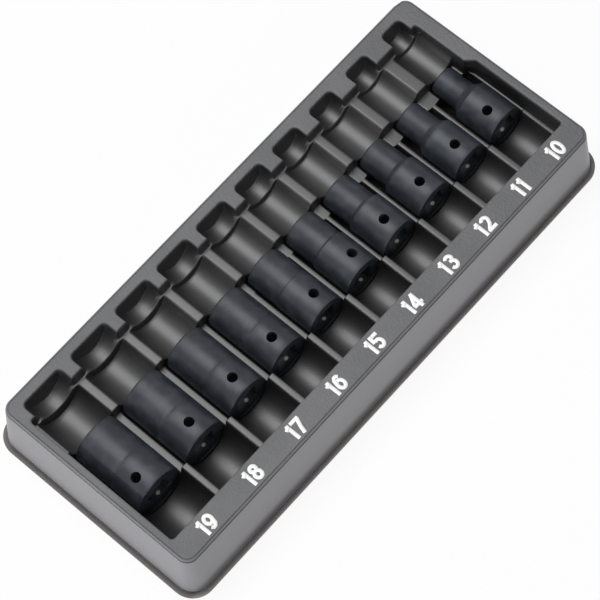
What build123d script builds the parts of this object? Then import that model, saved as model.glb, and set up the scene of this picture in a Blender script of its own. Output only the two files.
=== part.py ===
"""Socket organizer drawer box: one formed plastic tray and the ten sockets that lie in it.

Millimetres. The origin is the middle of the underside, +Z is up. The sockets stand side by
side along X, the largest at -X, with their drive ends towards the numbered strip at -Y and
their open noses towards the notched rim at +Y.
"""
import os
from math import cos, pi, radians, sin, tan

from build123d import *

# Sockets: sizes are the hexagon's width across flats, from left to right.
socket_sizes = list(range(19, 9, -1))
socket_length = 45.0
drive_diameter = 25.0
drive_step_length = 23.6
nose_growth = 1.45
nose_base = 2.2
drive_square = 12.7
drive_square_play = 0.3
drive_square_depth = 16.5
drive_square_lead = 0.8
hexagon_play = 0.15
hexagon_depth = 17.0
hexagon_lead = 0.9
core_bore = 10.5
core_bore_margin = 1.6
pin_hole = 5.8
pin_hole_from_end = 9.8
drive_end_chamfer = 1.0
nose_end_chamfer = 1.2
lead_angle = 45.0
hexagon_sides = 6
# Turn of each cross hole about the socket's own axis, clockwise from straight up, in degrees.
pin_turns = [-20.0, 1.0, 1.0, -3.0, 10.0, 14.0, -3.0, -4.0, -5.0, -16.0]

# Tray, across the row (X).
side_rim = 5.2
side_clearance = 2.7
rib_small = 4.2
rib_growth = 0.28
rib_growth_from = 13.0

# Tray, along the sockets (Y), from the numbered strip to the notched rim.
label_strip = 15.5
finger_trough_length = 25.4
pocket_end_play = 1.2
nose_trough_length = 24.2
notch_ledge = 2.3
back_rim = 16.2
notch_depth = 9.3
nose_seat_length = 8.3
side_jog = 4.7

# Tray, up and down (Z). Depths are measured down from the top face.
tray_height = 39.0
sheet = 2.4
wall_draft = 6.1
flange_thickness = 2.0
flange_reach = 2.4
pocket_depth = 28.0
pocket_ridge_depth = 15.7
finger_depth = 27.0
finger_ridge_left_depth = 6.8
finger_ridge_right_depth = 15.0
nose_axis_depth = 4.0
nose_ridge_depth = 7.6
notch_floor_depth = 12.7
seat_top_depth = 3.4
seat_margin = 0.3
seat_corner = 2.5

# Fits and form of the tray.
seat_gap = 0.3
side_gap = 0.6
finger_ridge_width = 4.2
nose_ridge_width = 4.5
nose_trough_margin = 2.6
notch_margin = 0.9
recess_draft = 2.5
back_draft = 9.0
recess_corner = 2.0
notch_corner = 3.2
notch_mouth_corner = 1.3
tray_corner = 6.5
rim_round = 1.7
recess_round = 1.0
ridge_round = 1.2
flange_round = 0.6

# Nearer than this, two coordinates count as the same.
match = 0.01

# Sizes that follow.
nose_diameters = [nose_growth * size + nose_base for size in socket_sizes]
body_diameters = [max(drive_diameter, nose) for nose in nose_diameters]
pairs = list(zip(socket_sizes, socket_sizes[1:]))
ribs = [rib_small + rib_growth * max(0.0, (a + b) / 2 - rib_growth_from) for a, b in pairs]
pitches = [
    (left + right) / 2 + rib
    for left, right, rib in zip(body_diameters, body_diameters[1:], ribs)
]
tray_length = (
    2 * (side_rim + side_clearance) + (body_diameters[0] + body_diameters[-1]) / 2 + sum(pitches)
)
pocket_length = socket_length + 2 * pocket_end_play
tray_width = (
    label_strip
    + finger_trough_length
    + pocket_length
    + nose_trough_length
    + notch_ledge
    + back_rim
)
recess_left = -tray_length / 2 + side_rim
recess_right = tray_length / 2 - side_rim
recess_front = -tray_width / 2 + label_strip
pocket_front = recess_front + finger_trough_length
pocket_back = pocket_front + pocket_length
notch_step = pocket_back + nose_trough_length
recess_back = notch_step + notch_ledge
notch_back = recess_back + notch_depth
nose_seat_front = pocket_back - nose_seat_length
drive_end = pocket_front + pocket_end_play
nose_end = drive_end + socket_length
first_centre = recess_left + side_clearance + body_diameters[0] / 2
centres = [first_centre + sum(pitches[:index]) for index in range(len(socket_sizes))]
cells = [
    body + (ribs[max(index - 1, 0)] + ribs[min(index, len(ribs) - 1)]) / 2
    for index, body in enumerate(body_diameters)
]
ridge_count = len(ribs)
draft_growth = tray_height * tan(radians(wall_draft))
pocket_floor = tray_height - pocket_depth
pocket_ridge = tray_height - pocket_ridge_depth
finger_floor = tray_height - finger_depth
finger_ridge_left = tray_height - finger_ridge_left_depth
finger_ridge_right = tray_height - finger_ridge_right_depth
nose_trough_axis = tray_height - nose_axis_depth
nose_ridge = tray_height - nose_ridge_depth
notch_floor = tray_height - notch_floor_depth
seat_top = tray_height - seat_top_depth


def even(height):
    """The same height for every ridge of a stretch."""
    return [height] * ridge_count


def finger_ridges():
    """Ridges between the finger troughs, which step down evenly from left to right."""
    fall = (finger_ridge_right - finger_ridge_left) / (ridge_count - 1)
    return [finger_ridge_left + fall * index for index in range(ridge_count)]


def trough_radii():
    """Radius of each finger trough: its cell less its share of the ridges."""
    return [(cell - finger_ridge_width) / 2 for cell in cells]


def nose_trough_radii():
    """Radius of each trough past the noses, never so wide that its ridge gets thin."""
    return [
        min(nose / 2 + nose_trough_margin, (cell - nose_ridge_width) / 2)
        for nose, cell in zip(nose_diameters, cells)
    ]


def notch_radii():
    """Radius of each notch in the back rim."""
    return [nose / 2 - notch_margin for nose in nose_diameters]


def row_section(front, back, channels, ridges, grow):
    """One stretch of the recess: U-shaped channels side by side, with ridges between them.

    Each channel is a centre, a radius and the height of its axis. A stretch with no ridges is
    channels alone. The section is grown all round by the sheet's thickness where grow says so.
    """
    top = tray_height + sheet
    reach = 0.0 if grow else sheet
    spans = [
        (left[0], right[0], ridge) for left, right, ridge in zip(channels, channels[1:], ridges)
    ]
    if ridges:
        spans.append((recess_left - reach, channels[0][0], channels[0][2]))
        spans.append((channels[-1][0], recess_right + reach, channels[-1][2]))
    with BuildPart() as stretch:
        with BuildSketch(Plane.XZ.offset(-back - grow)):
            for centre, radius, axis in channels:
                with Locations((centre, axis)):
                    Circle(radius)
                with Locations((centre, (axis + top) / 2)):
                    Rectangle(2 * radius, top - axis)
            for left, right, low in spans:
                with Locations(((left + right) / 2, (low + top) / 2)):
                    Rectangle(right - left, top - low)
            if ridges:
                offset(amount=ridge_round)
                offset(amount=-ridge_round)
            if grow:
                offset(amount=grow)
        extrude(amount=back - front + 2 * grow)
    return stretch.part


def recess_stretches(grow=0.0):
    """The stretches of the recess, from the finger troughs to the notches."""
    reach = 0.0 if grow else sheet
    bodies = [body / 2 + side_gap for body in body_diameters]
    noses = [nose / 2 + side_gap for nose in nose_diameters]
    axes = [pocket_floor + radius for radius in bodies]
    finger_channels = [(c, r, finger_floor + r) for c, r in zip(centres, trough_radii())]
    nose_channels = [(c, r, nose_trough_axis) for c, r in zip(centres, nose_trough_radii())]
    notch_channels = [
        (c, r + side_gap, notch_floor + r + side_gap) for c, r in zip(centres, notch_radii())
    ]
    rows = [
        (recess_front - reach, pocket_front, finger_channels, finger_ridges()),
        (pocket_front, nose_seat_front, list(zip(centres, bodies, axes)), even(pocket_ridge)),
        (nose_seat_front, pocket_back, list(zip(centres, noses, axes)), even(pocket_ridge)),
        (pocket_back, notch_step, nose_channels, even(nose_ridge)),
        (notch_step, recess_back + reach, notch_channels, even(nose_ridge)),
        (recess_back, notch_back + reach, notch_channels, []),
    ]
    return [row_section(*row, grow) for row in rows]


def recess_plan(height, inset=0.0, back_inset=0.0):
    """Outline of the recess and its notches at one height, drawn in all round and at the back."""
    left = recess_left + inset
    right = recess_right - inset
    front = recess_front + inset
    back = recess_back - back_inset
    notch_end = notch_back - back_inset
    jog = centres[-1] + nose_trough_radii()[-1] - inset
    mouth_radii = [radius - inset for radius in notch_radii()]
    outline = [
        (left, front),
        (right, front),
        (right, nose_seat_front - side_jog),
        (jog, nose_seat_front),
        (jog, back),
        (left, back),
    ]
    with BuildSketch(Plane.XY.offset(height)) as plan:
        with BuildLine():
            Polyline(*outline, close=True)
        make_face()
        fillet(plan.vertices(), recess_corner - inset)
        for centre, radius in zip(centres, mouth_radii):
            with Locations((centre, (back + notch_end) / 2 - notch_corner)):
                Rectangle(2 * radius, notch_end - back + 2 * notch_corner)
        ends = [v for v in plan.vertices() if v.Y > notch_end - match]
        fillet(ends, notch_corner - inset)
        mouths = [
            v
            for v in plan.vertices()
            if abs(v.Y - back) < match
            and min(abs(abs(v.X - c) - r) for c, r in zip(centres, mouth_radii)) < match
        ]
        fillet(mouths, notch_mouth_corner)
    return plan.sketch


def make_recess():
    """The whole hollow: its stretches, kept inside the drafted outline of the rim."""
    first, *others = recess_stretches()
    with BuildPart() as recess:
        add(recess_plan(tray_height))
        add(
            recess_plan(
                0.0,
                tray_height * tan(radians(recess_draft)),
                tray_height * tan(radians(back_draft)),
            )
        )
        loft(ruled=True)
        add(first.fuse(*others), mode=Mode.INTERSECT)
    return recess.part


def make_hollow():
    """The open underside: the inside of the outer walls, less the recess and its sheet."""
    inset = draft_growth - sheet
    with BuildPart() as hollow:
        with BuildSketch(Plane.XY):
            RectangleRounded(tray_length + 2 * inset, tray_width + 2 * inset, tray_corner + inset)
        extrude(amount=tray_height - sheet, taper=wall_draft)
        for stretch in recess_stretches(sheet):
            add(stretch, mode=Mode.SUBTRACT)
    return hollow.part


def make_tray():
    """The formed tray: drafted walls on a small flange, hollow below, with the shaped recess."""
    foot_length = tray_length + 2 * draft_growth
    foot_width = tray_width + 2 * draft_growth
    foot_corner = tray_corner + draft_growth
    with BuildPart() as tray:
        with BuildSketch(Plane.XY):
            RectangleRounded(foot_length, foot_width, foot_corner)
        extrude(amount=tray_height, taper=wall_draft)
        fillet(tray.edges().group_by(Axis.Z)[-1], rim_round)
        with BuildSketch(Plane.XY):
            RectangleRounded(
                foot_length + 2 * flange_reach,
                foot_width + 2 * flange_reach,
                foot_corner + flange_reach,
            )
        extrude(amount=flange_thickness)
        flange_top = tray.edges().filter_by_position(
            Axis.Z, flange_thickness - match, flange_thickness + match
        )
        fillet(flange_top, flange_round)
        add(make_hollow(), mode=Mode.SUBTRACT)
        add(make_recess(), mode=Mode.SUBTRACT)
        top = tray.faces().sort_by(Axis.Z)[-1]
        fillet(top.inner_wires().edges(), recess_round)
    return tray.part


def seat_lines():
    """Where the row of seats is divided along X: its two sides and the middle of each ridge."""
    sides = [(centre, body / 2) for centre, body in zip(centres, body_diameters)]
    middles = [(a + half_a + b - half_b) / 2 for (a, half_a), (b, half_b) in zip(sides, sides[1:])]
    reach = sheet + seat_margin
    return [recess_left - reach, *middles, recess_right + reach]


def seat_room():
    """The room that all the seats take, from the surface below to just under the rim."""
    left, *_, right = seat_lines()
    front = recess_front - sheet - seat_margin
    back = notch_back + sheet + seat_margin
    with BuildPart() as room:
        with BuildSketch(Plane.XY) as plan:
            with Locations(((left + right) / 2, (front + back) / 2)):
                Rectangle(right - left, back - front)
            chamfer(plan.vertices().group_by(Axis.Y)[-1], seat_corner)
        extrude(amount=seat_top)
    return room.part


def make_rim(tray):
    """The rim of the tray: its top face, outer walls and flange, without the seats."""
    with BuildPart() as rim:
        add(tray)
        add(seat_room(), mode=Mode.SUBTRACT)
    return rim.part


def make_seat(seats, index):
    """One socket's seat: finger trough, pocket, nose trough and notch, with its half ridges."""
    left, right = seat_lines()[index : index + 2]
    with BuildPart() as seat:
        add(seats)
        with Locations(((left + right) / 2, 0, seat_top / 2)):
            Box(right - left, tray_width, tray_height, mode=Mode.INTERSECT)
    return seat.part


def make_socket(index):
    """One impact socket, lying along Y over its pocket, its drive end at -Y."""
    size = socket_sizes[index]
    body = body_diameters[index] / 2
    nose = nose_diameters[index] / 2
    axis_height = pocket_floor + seat_gap + body
    centre = (centres[index], drive_end, axis_height)
    turn = radians(pin_turns[index])
    across = (cos(turn), 0, -sin(turn))
    drive_face = Plane(origin=centre, x_dir=across, z_dir=(0, 1, 0))
    nose_face = Plane(origin=(centre[0], nose_end, axis_height), x_dir=across, z_dir=(0, -1, 0))
    outline = [(0, 0), (body - drive_end_chamfer, 0), (body, drive_end_chamfer)]
    if nose < body:
        outline += [(body, drive_step_length), (nose, drive_step_length + body - nose)]
    outline += [
        (nose, socket_length - nose_end_chamfer),
        (nose - nose_end_chamfer, socket_length),
        (0, socket_length),
    ]
    with BuildPart() as socket:
        with BuildSketch(Plane.XY.offset(axis_height).move(Location((centre[0], drive_end, 0)))):
            with BuildLine():
                Polyline(*outline, close=True)
            make_face()
        revolve(axis=Axis(centre, (0, 1, 0)))
        with BuildSketch(drive_face):
            Circle(min(core_bore, size - core_bore_margin) / 2)
        extrude(amount=socket_length, mode=Mode.SUBTRACT)
        with BuildSketch(drive_face):
            Rectangle(drive_square + drive_square_play, drive_square + drive_square_play)
        extrude(amount=drive_square_depth, mode=Mode.SUBTRACT)
        with BuildSketch(drive_face):
            Rectangle(
                drive_square + drive_square_play + 2 * drive_square_lead,
                drive_square + drive_square_play + 2 * drive_square_lead,
            )
        extrude(amount=drive_square_lead, taper=lead_angle, mode=Mode.SUBTRACT)
        with BuildSketch(nose_face):
            RegularPolygon((size + hexagon_play) / 2, hexagon_sides, major_radius=False)
        extrude(amount=hexagon_depth, mode=Mode.SUBTRACT)
        with BuildSketch(nose_face):
            Circle((size + hexagon_play) / 2 / cos(pi / hexagon_sides) + hexagon_play)
        extrude(amount=hexagon_lead, taper=lead_angle, mode=Mode.SUBTRACT)
        pin_centre = (centre[0], drive_end + pin_hole_from_end, axis_height)
        with BuildSketch(Plane(origin=pin_centre, x_dir=(0, 1, 0), z_dir=(sin(turn), 0, cos(turn)))):
            Circle(pin_hole / 2)
        extrude(amount=body, both=True, mode=Mode.SUBTRACT)
    return socket.part


def write_piece(piece, name):
    """Label a finished piece and write it under its name."""
    piece.label = name
    export_step(piece, f"parts/{name}.step")


os.makedirs("parts", exist_ok=True)
whole_tray = make_tray()
all_seats = whole_tray.intersect(seat_room())
write_piece(make_rim(whole_tray), "tray_rim")
for position, socket_size in enumerate(socket_sizes):
    write_piece(make_seat(all_seats, position), f"seat_{socket_size}")
    write_piece(make_socket(position), f"socket_{socket_size}")
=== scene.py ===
"""Finish the socket organizer drawer box: a formed plastic tray, its printed numbers, ten sockets.

Everything is in metres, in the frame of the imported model: +Z up, +X along the row from the
largest socket to the smallest, +Y along the sockets from the numbered strip to the notched rim.
Sizes in the classes are millimetres, and meshes are scaled to metres when they are made.
"""

from __future__ import annotations

import logging
import math
from dataclasses import dataclass, field, replace
from enum import Enum
from typing import Any, Sequence, Union

import bmesh
import bpy
import numpy as np
from mathutils import Euler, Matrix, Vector


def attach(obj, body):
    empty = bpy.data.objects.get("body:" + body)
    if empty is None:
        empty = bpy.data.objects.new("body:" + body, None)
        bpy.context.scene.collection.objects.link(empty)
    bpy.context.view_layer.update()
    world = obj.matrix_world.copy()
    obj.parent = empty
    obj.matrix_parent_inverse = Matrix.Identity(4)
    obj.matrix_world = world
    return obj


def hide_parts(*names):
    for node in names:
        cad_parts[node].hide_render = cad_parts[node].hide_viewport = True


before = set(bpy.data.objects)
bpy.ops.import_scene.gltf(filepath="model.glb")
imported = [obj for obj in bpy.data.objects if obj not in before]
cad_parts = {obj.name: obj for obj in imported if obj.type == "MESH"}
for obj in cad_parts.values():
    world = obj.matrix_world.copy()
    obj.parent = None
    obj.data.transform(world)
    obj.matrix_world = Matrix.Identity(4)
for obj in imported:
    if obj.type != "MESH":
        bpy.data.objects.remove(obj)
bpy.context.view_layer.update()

LOG = logging.getLogger("socket_organizer")
MM = 0.001
MERGE = 2e-6
ORIGIN = (0.0, 0.0, 0.0)
WHITE = (1.0, 1.0, 1.0, 1.0)

Value = Union["Wire", float, Sequence[float]]
Sockets = dict[Union[str, int], Any]
Pair = tuple[float, float]
Place = tuple[float, float, float]
Colour = tuple[float, float, float, float]
Points = list[tuple[float, float]]
Floats = tuple[float, ...]


# --- Node trees ---


class Wire:
    """An output of a node tree that can be used in a Python expression."""

    def __init__(self, tree: "Tree", output: bpy.types.NodeSocket) -> None:
        """Wrap one output.

        Args:
            tree: The tree that the output is in.
            output: The output itself.
        """
        self.tree = tree
        self.output = output

    def _maths(self, operation: str, *values: Value) -> "Wire":
        """Add a Math node for one step of an expression."""
        return self.tree.node("ShaderNodeMath", {"operation": operation}, dict(enumerate(values)))

    def __add__(self, other: Value) -> "Wire":
        """Return self + other."""
        return self._maths("ADD", self, other)

    def __radd__(self, other: Value) -> "Wire":
        """Return other + self."""
        return self._maths("ADD", other, self)

    def __sub__(self, other: Value) -> "Wire":
        """Return self - other."""
        return self._maths("SUBTRACT", self, other)

    def __rsub__(self, other: Value) -> "Wire":
        """Return other - self."""
        return self._maths("SUBTRACT", other, self)

    def __mul__(self, other: Value) -> "Wire":
        """Return self * other."""
        return self._maths("MULTIPLY", self, other)

    def __rmul__(self, other: Value) -> "Wire":
        """Return other * self."""
        return self._maths("MULTIPLY", other, self)

    def __truediv__(self, other: Value) -> "Wire":
        """Return self / other."""
        return self._maths("DIVIDE", self, other)

    def maximum(self, other: Value) -> "Wire":
        """Return the larger of self and other."""
        return self._maths("MAXIMUM", self, other)

    def ramp(self, start: Value, end: Value) -> "Wire":
        """Map self smoothly to the range 0..1.

        Args:
            start: Where the result is 0.
            end: Where the result is 1.

        Returns:
            The mapped value.
        """
        sockets = {"Value": self, "From Min": start, "From Max": end}
        return self.tree.node("ShaderNodeMapRange", {"interpolation_type": "SMOOTHSTEP"}, sockets)


class Tree:
    """A node tree, material or geometry, that is filled by calls of one method."""

    def __init__(self, tree: bpy.types.NodeTree) -> None:
        """Take a tree and clear it.

        Args:
            tree: The tree to fill.
        """
        self.tree = tree
        self.tree.nodes.clear()

    def node(
        self,
        kind: str,
        settings: dict[str, Any] | None = None,
        sockets: Sockets | None = None,
        output: Union[str, int] = 0,
    ) -> Wire:
        """Add a node, set it up, and give its sockets their values or links.

        Args:
            kind: The node's type.
            settings: Properties of the node, which are set first.
            sockets: Values or links of its inputs, by name or by place. A list is linked in turn.
            output: The output to return, by name or by place.

        Returns:
            The chosen output.
        """
        made = self.tree.nodes.new(kind)
        for name, setting in (settings or {}).items():
            setattr(made, name, setting)
        for key, value in (sockets or {}).items():
            target = self._input(made, key)
            if isinstance(value, Wire):
                self.tree.links.new(value.output, target)
            elif isinstance(value, list):
                for wire in reversed(value):
                    self.tree.links.new(wire.output, target)
            else:
                target.default_value = value
        outputs = [o for o in made.outputs if o.enabled]
        if not outputs:
            return Wire(self, None)
        chosen = outputs[output] if isinstance(output, int) else made.outputs[output]
        return Wire(self, chosen)

    @staticmethod
    def _input(made: bpy.types.Node, key: Union[str, int]) -> bpy.types.NodeSocket:
        """Find an enabled input of a node.

        Args:
            made: The node.
            key: The name or place.

        Returns:
            The input.
        """
        if isinstance(key, int):
            return [i for i in made.inputs if i.enabled][key]
        return next(i for i in made.inputs if i.enabled and i.name == key)


class Material(Tree):
    """A material with one Principled shader."""

    def __init__(self, name: str) -> None:
        """Make an empty material.

        Args:
            name: The material's name.
        """
        self.material = bpy.data.materials.new(name)
        self.material.use_nodes = True
        super().__init__(self.material.node_tree)
        self.place = self.node("ShaderNodeTexCoord", None, None, "Object")

    def axis(self, name: str) -> Wire:
        """Return one axis of the object coordinates, in metres."""
        return self.node("ShaderNodeSeparateXYZ", None, {"Vector": self.place}, name)

    def stretched(self, scale: Sequence[float]) -> Wire:
        """Return the object coordinates with each axis scaled."""
        sockets = {"Vector": self.place, "Scale": scale}
        return self.node("ShaderNodeMapping", {"vector_type": "POINT"}, sockets)

    def noise(self, scale: float, detail: float = 3.0, vector: Wire | None = None) -> Wire:
        """Return a noise of so many features per metre."""
        sockets = {"Vector": vector or self.place, "Scale": scale, "Detail": detail}
        return self.node("ShaderNodeTexNoise", None, sockets)

    def blend(self, factor: Value, low: Value, high: Value) -> Wire:
        """Mix two colours.

        Args:
            factor: 0 for low, 1 for high.
            low: The first colour.
            high: The second colour.

        Returns:
            The mixed colour.
        """
        sockets = {"Factor": factor, "A": low, "B": high}
        return self.node("ShaderNodeMix", {"data_type": "RGBA"}, sockets, "Result")

    def bump(self, height: Value, depth: float, strength: float = 1.0) -> Wire:
        """Return a normal that follows a height, which is 1 at this many metres."""
        sockets = {"Strength": strength, "Distance": depth, "Height": height}
        return self.node("ShaderNodeBump", None, sockets)

    def finish(self, sockets: Sockets) -> bpy.types.Material:
        """Close the tree with a Principled shader.

        Args:
            sockets: The shader's values and links.

        Returns:
            The finished material.
        """
        shader = self.node("ShaderNodeBsdfPrincipled", None, sockets)
        self.node("ShaderNodeOutputMaterial", None, {"Surface": shader})
        return self.material


class Recipe(Tree):
    """A geometry node tree with named inputs, used as a modifier."""

    def __init__(self, name: str) -> None:
        """Make an empty recipe.

        Args:
            name: The tree's name.
        """
        super().__init__(bpy.data.node_groups.new(name, "GeometryNodeTree"))
        self.identifiers: dict[str, str] = {}
        kind = "NodeSocketGeometry"
        for way in ("INPUT", "OUTPUT"):
            self.tree.interface.new_socket("Geometry", in_out=way, socket_type=kind)

    def size(self, name: str, value: float) -> Wire:
        """Add a named input for a size.

        Args:
            name: The input's name.
            value: Its value where a piece doesn't set it.

        Returns:
            The input, for use in the tree.
        """
        interface = self.tree.interface
        made = interface.new_socket(name, in_out="INPUT", socket_type="NodeSocketFloat")
        made.default_value = value
        self.identifiers[name] = made.identifier
        return self.node("NodeGroupInput", None, None, name)

    def base(self) -> Wire:
        """Return the geometry that the modifier is given."""
        return self.node("NodeGroupInput", None, None, "Geometry")

    def vector(self, x: Value = 0.0, y: Value = 0.0, z: Value = 0.0) -> Wire:
        """Return a vector of three values."""
        return self.node("ShaderNodeCombineXYZ", None, {"X": x, "Y": y, "Z": z})

    def moved(self, geometry: Wire, move: Value = ORIGIN, turn: Value = ORIGIN) -> Wire:
        """Return a geometry turned about the origin and then moved."""
        sockets = {"Geometry": geometry, "Translation": move, "Rotation": turn}
        return self.node("GeometryNodeTransform", None, sockets)

    def close(self, geometry: Wire, material: bpy.types.Material) -> None:
        """End the tree, with every instance made real and the material set.

        Args:
            geometry: What the tree makes.
            material: The material of all of it.
        """
        real = self.node("GeometryNodeRealizeInstances", None, {"Geometry": geometry})
        sockets = {"Geometry": real, "Material": material}
        dressed = self.node("GeometryNodeSetMaterial", None, sockets)
        self.node("NodeGroupOutput", None, {"Geometry": dressed})

    def make(self, name: str, source: bpy.types.ID, sizes: dict[str, float]) -> bpy.types.Object:
        """Run the recipe once and keep the result as a plain mesh.

        Args:
            name: The new object's name.
            source: The mesh or curve that the modifier is given.
            sizes: Values of the named inputs.

        Returns:
            A mesh object at the origin.
        """
        carrier = bpy.data.objects.new(f"{name}_carrier", source)
        bpy.context.scene.collection.objects.link(carrier)
        modifier = carrier.modifiers.new("recipe", "NODES")
        modifier.node_group = self.tree
        for size, value in sizes.items():
            modifier[self.identifiers[size]] = value
        graph = bpy.context.evaluated_depsgraph_get()
        mesh = bpy.data.meshes.new_from_object(carrier.evaluated_get(graph), depsgraph=graph)
        carrier.modifiers.remove(modifier)
        bpy.data.objects.remove(carrier)
        mesh.name = name
        return place_mesh(name, mesh)


def place_mesh(name: str, mesh: bpy.types.Mesh) -> bpy.types.Object:
    """Put a mesh into the scene as an object at the origin.

    Args:
        name: The object's name.
        mesh: Its mesh.

    Returns:
        The new object.
    """
    made = bpy.data.objects.new(name, mesh)
    bpy.context.scene.collection.objects.link(made)
    return made


# --- Finishes ---


@dataclass(frozen=True)
class TrayPlastic:
    """Dark grey sheet plastic, pebbled on top, with light and shade painted into its colour:
    paler on the walls as painted light, near black in the recess as painted shade, and painted
    shade and light along the foot.

    The attribute "depth" is above 0 in the recess, 0 on the top face and -1 on the walls. Above 0
    it paints shade and below 0 it paints light. Each pair named after a place is where its mask
    starts and where it is full.
    """

    top: Colour = (0.112, 0.112, 0.116, 1.0)
    top_mottle: Colour = (0.068, 0.069, 0.072, 1.0)
    # Painted light: the walls are the same plastic as the top, coloured paler as the lamps light
    # them.
    wall: Colour = (0.168, 0.166, 0.180, 1.0)
    # Painted shade: the flange at the foot is coloured darker, as the wall shades it.
    lip: Colour = (0.085, 0.080, 0.077, 1.0)
    # Painted light: the front flange's top is coloured lighter, as lit.
    front_lip: Colour = (0.190, 0.180, 0.174, 1.0)
    # Painted shade: the same plastic, coloured near black deep in the recess where little light
    # reaches.
    recess: Colour = (0.0065, 0.0060, 0.0060, 1.0)
    pebbles_per_metre: float = 820.0
    pebble_depth: float = 0.00016
    top_roughness: float = 0.55
    recess_roughness: float = 0.42
    gloss: float = 0.65
    recess_gloss: float = 0.40
    gloss_roughness: float = 0.38
    recess_depth: Pair = (0.01, 0.10)
    wall_depth: Pair = (-0.02, -0.2)
    lip_height: Pair = (0.0034, 0.0022)
    # Painted shade: a darker band low on the front wall, above the foot.
    scuff_height: Pair = (0.012, 0.003)
    front: Pair = (-0.066, -0.069)
    scuff: float = 0.8
    scuffed_recess: float = 0.6

    def make(self) -> bpy.types.Material:
        """Build the material.

        Returns:
            The finished material.
        """
        tree = Material("tray_plastic")
        depth = tree.node("ShaderNodeAttribute", {"attribute_name": "depth"}, None, "Fac")
        outside = depth.ramp(*self.wall_depth)
        # Painted shade: below this height the plastic takes the darker lip colour.
        low = tree.axis("Z").ramp(*self.lip_height)
        # Painted shade low on the front wall, with painted light on the front flange.
        front_shade = tree.axis("Z").ramp(*self.scuff_height) * tree.axis("Y").ramp(*self.front)
        # Painted shade: the recess is coloured darker the deeper it lies.
        inside = depth.ramp(*self.recess_depth) * (1.0 - front_shade * self.scuffed_recess)
        pebble = tree.node(
            "ShaderNodeTexVoronoi",
            {"feature": "SMOOTH_F1"},
            {"Vector": tree.place, "Scale": self.pebbles_per_metre, "Smoothness": 0.7},
        )
        fine = tree.noise(2400.0, 4.0)
        cloud = tree.noise(34.0, 3.0)
        speck = cloud.ramp(0.3, 0.7) * 0.5 + fine.ramp(0.35, 0.65) * 0.5
        # The walls take the paler colour, which is painted light.
        skin = tree.blend(outside, tree.blend(speck, self.top_mottle, self.top), self.wall)
        edge = tree.blend(low * front_shade, self.lip, self.front_lip)
        # Painted shade along the foot, and painted shade and light at the front of the wall.
        worn = tree.blend(low.maximum(front_shade * self.scuff) * outside, skin, edge)
        colour = tree.blend(inside, worn, self.recess)
        grain = pebble * (1.0 - inside * 0.8) * (1.0 - outside * 0.7) + fine * 0.3
        smoother = (self.recess_roughness - self.top_roughness) * inside
        # The coat is left off where shade is painted at the foot and the front.
        unshaded_wall = outside * (1.0 - low) * (1.0 - front_shade)
        return tree.finish(
            {
                "Base Color": colour,
                "Roughness": self.top_roughness + smoother + fine * 0.1,
                "Normal": tree.bump(grain, self.pebble_depth),
                "Specular IOR Level": 0.5,
                "Coat Weight": inside * self.recess_gloss + unshaded_wall * self.gloss,
                "Coat Roughness": self.gloss_roughness,
            }
        )


@dataclass(frozen=True)
class PhosphateSteel:
    """Satin blue-black phosphate over turned steel, with a glint painted low in the mouth of the
    drive, coloured as steel showing through the phosphate.
    """

    colour: Colour = (0.017, 0.020, 0.026, 1.0)
    worn: Colour = (0.046, 0.052, 0.062, 1.0)
    roughness: float = 0.40
    turns_per_metre: float = 4200.0
    # Painted glint: a pale spot low in the drive's mouth, at the same place on every socket.
    bare: Colour = (0.62, 0.60, 0.57, 1.0)
    rubbed_place: Pair = (0.0006, 0.0022)
    rubbed_size: Pair = (0.0013, 0.0011)
    rubbed_from: Pair = (0.0050, 0.0060)
    rubbed_to: Pair = (0.0080, 0.0072)

    def make(self) -> bpy.types.Material:
        """Build the material.

        Returns:
            The finished material.
        """
        tree = Material("socket_steel")
        turned = tree.noise(1.0, 3.0, tree.stretched((60.0, self.turns_per_metre, 60.0)))
        scuff = tree.noise(1.0, 5.0, tree.stretched((900.0, 180.0, 900.0)))
        cloud = tree.noise(150.0, 4.0)
        wear = cloud.ramp(0.4, 0.75) * 0.55 + scuff.ramp(0.62, 0.75) * 0.3
        own = tree.node("ShaderNodeAttribute", {"attribute_name": "own_place"}, None, "Vector")
        across, below, deep = (
            tree.node("ShaderNodeSeparateXYZ", None, {"Vector": own}, name) for name in "XYZ"
        )
        # Painted glint: a pale spot low in the drive's mouth, whatever way the socket is turned.
        aside = (across - self.rubbed_place[0]) / self.rubbed_size[0]
        along = (deep - self.rubbed_place[1]) / self.rubbed_size[1]
        spot = (aside * aside + along * along).ramp(1.3, 0.3)
        glint = spot * below.ramp(*self.rubbed_from) * below.ramp(*self.rubbed_to)
        colour = tree.blend(glint, tree.blend(wear, self.colour, self.worn), self.bare)
        rough = self.roughness + cloud * 0.14 + turned * 0.06 - 0.06
        height = turned * 0.5 + scuff * 0.5
        return tree.finish(
            {
                "Base Color": colour,
                "Metallic": 0.15,
                "Roughness": rough,
                "Normal": tree.bump(height, 0.00003, 0.5),
                "Specular IOR Level": 0.32,
            }
        )


@dataclass(frozen=True)
class WhitePrint:
    """Opaque white ink, a little thinner where the grain under it shows."""

    colour: Colour = (0.90, 0.90, 0.89, 1.0)
    thin: Colour = (0.70, 0.70, 0.70, 1.0)

    def make(self) -> bpy.types.Material:
        """Build the material.

        Returns:
            The finished material.
        """
        tree = Material("number_print")
        grain = tree.noise(1500.0, 3.0)
        colour = tree.blend(grain.ramp(0.60, 0.80), self.colour, self.thin)
        return tree.finish(
            {
                "Base Color": colour,
                "Roughness": 0.55 + grain * 0.1,
                "Normal": tree.bump(grain, 0.00004, 0.6),
            }
        )


# --- The row that the tray and the sockets share ---


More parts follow.
